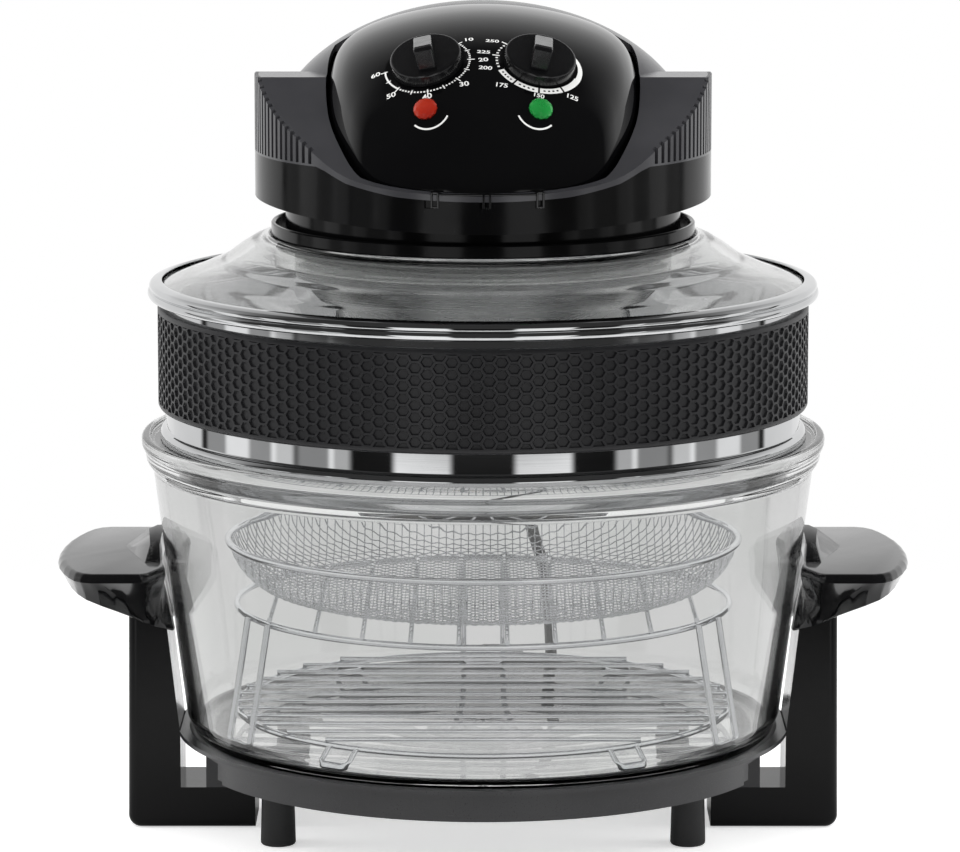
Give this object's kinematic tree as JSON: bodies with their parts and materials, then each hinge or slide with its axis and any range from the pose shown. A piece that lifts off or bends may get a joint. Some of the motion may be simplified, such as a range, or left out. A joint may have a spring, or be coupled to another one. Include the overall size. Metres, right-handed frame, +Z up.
{
  "type": "halogen oven",
  "caption": "Countertop halogen convection oven: round glass bowl on a stand with handles, steel extender ring, and a lift-off glass lid with motor head, dials and lead.",
  "frame": {"origin": "middle of the stand at table level, on the bowl's axis", "axes": "+X to the right past the right handle, +Y to the rear where the lead leaves, +Z up"},
  "size_m": [0.417, 0.4445, 0.4024],
  "materials": {
    "black_gloss_plastic": "glossy black moulding",
    "black_matte_plastic": "satin dark grey moulding",
    "knob_plastic": "semi-gloss black",
    "rubber_black": "flexible black",
    "clear_glass": "clear pressed glass",
    "lamp_quartz": "quartz tube",
    "ring_steel": "bright stainless sheet",
    "plated_steel": "zinc-plated",
    "wire_chrome": "bright chrome plating on wire",
    "shroud_steel": "satin stainless sheet",
    "aluminium_sheet": "plain rolled sheet",
    "silicone_rubber": "charcoal silicone with a honeycomb relief",
    "red_lens": "translucent red",
    "green_lens": "translucent green",
    "white_ceramic": "unglazed steatite",
    "white_plastic": "plain moulding",
    "brass_metal": "plain"
  },
  "bodies": {
    "base_frame": {"base_ring": "black_matte_plastic", "support_pegs": "rubber_black", "side_arm_right": "black_gloss_plastic", "side_arm_left": "black_gloss_plastic", "grip_right": "black_gloss_plastic", "grip_left": "black_gloss_plastic", "arm_screws": "plated_steel", "grip_screws": "plated_steel"},
    "bowl": {"glass_bowl": "clear_glass"},
    "extender": {"steel_ring": "ring_steel", "silicone_band": "silicone_rubber"},
    "lid": {"lid_glass": "clear_glass", "lid_rim_band": "ring_steel", "neck_ring": "black_gloss_plastic", "head_base": "black_gloss_plastic", "top_cover": "black_matte_plastic", "control_panel": "black_gloss_plastic", "timer_unit": "black_matte_plastic", "thermostat": "black_matte_plastic", "power_lens": "red_lens", "heat_lens": "green_lens", "indicator_lamps": "black_matte_plastic", "heater_shroud": "shroud_steel", "reflector_plate": "aluminium_sheet", "heat_shield": "plated_steel", "halogen_lamp": "lamp_quartz", "lamp_holders": "white_ceramic", "wire_guard": "wire_chrome", "guard_screws": "plated_steel", "shroud_screws": "plated_steel", "cover_screws": "plated_steel", "motor_plate": "plated_steel", "plate_screws": "plated_steel", "motor_posts": "plated_steel", "bearing_bridges": "plated_steel", "motor_bushes": "brass_metal", "motor_stator": "plated_steel", "motor_coil": "black_matte_plastic", "terminal_block": "black_matte_plastic", "strain_relief": "rubber_black", "power_cord": "rubber_black", "cord_coil": "rubber_black", "cord_tail": "rubber_black", "cord_tie": "rubber_black", "plug_body": "rubber_black", "plug_pins": "brass_metal"},
    "timer_dial": {"timer_knob": "knob_plastic", "timer_shaft": "plated_steel"},
    "temperature_dial": {"temperature_knob": "knob_plastic", "temperature_shaft": "plated_steel"},
    "fan": {"motor_rotor": "plated_steel", "motor_shaft": "plated_steel", "cooling_fan": "white_plastic", "convection_fan": "aluminium_sheet", "fan_nut": "plated_steel"},
    "low_rack": {"low_rack": "wire_chrome"},
    "high_rack": {"high_rack": "wire_chrome"},
    "basket": {"basket_rim": "wire_chrome", "mesh_basket": "wire_chrome"}
  },
  "joints": [
    {"name": "bowl_lift", "type": "slide", "parent": "base_frame", "child": "bowl", "axis": [0, 0, 1], "range_m": [0, 0.16]},
    {"name": "extender_lift", "type": "slide", "parent": "bowl", "child": "extender", "axis": [0, 0, 1], "range_m": [0, 0.1]},
    {"name": "lid_lift", "type": "slide", "parent": "extender", "child": "lid", "axis": [0, 0, 1], "range_m": [0, 0.2]},
    {"name": "timer_turn", "type": "hinge", "parent": "lid", "child": "timer_dial", "pos_m": [-0.0265, -0.062, 0.3805], "axis": [-0.183, -0.4959, 0.8489], "range_deg": [-300, 0]},
    {"name": "temperature_turn", "type": "hinge", "parent": "lid", "child": "temperature_dial", "pos_m": [0.0265, -0.062, 0.3805], "axis": [0.183, -0.4959, 0.8489], "range_deg": [-270, 0]},
    {"name": "fan_spin", "type": "hinge", "parent": "lid", "child": "fan", "pos_m": [0, 0, 0.3], "axis": [0, 0, 1], "continuous": true},
    {"name": "low_rack_lift", "type": "slide", "parent": "bowl", "child": "low_rack", "axis": [0, 0, 1], "range_m": [0, 0.03]},
    {"name": "high_rack_lift", "type": "slide", "parent": "bowl", "child": "high_rack", "axis": [0, 0, 1], "range_m": [0, 0.045]},
    {"name": "basket_lift", "type": "slide", "parent": "high_rack", "child": "basket", "axis": [0, 0, 1], "range_m": [0, 0.045]}
  ]
}
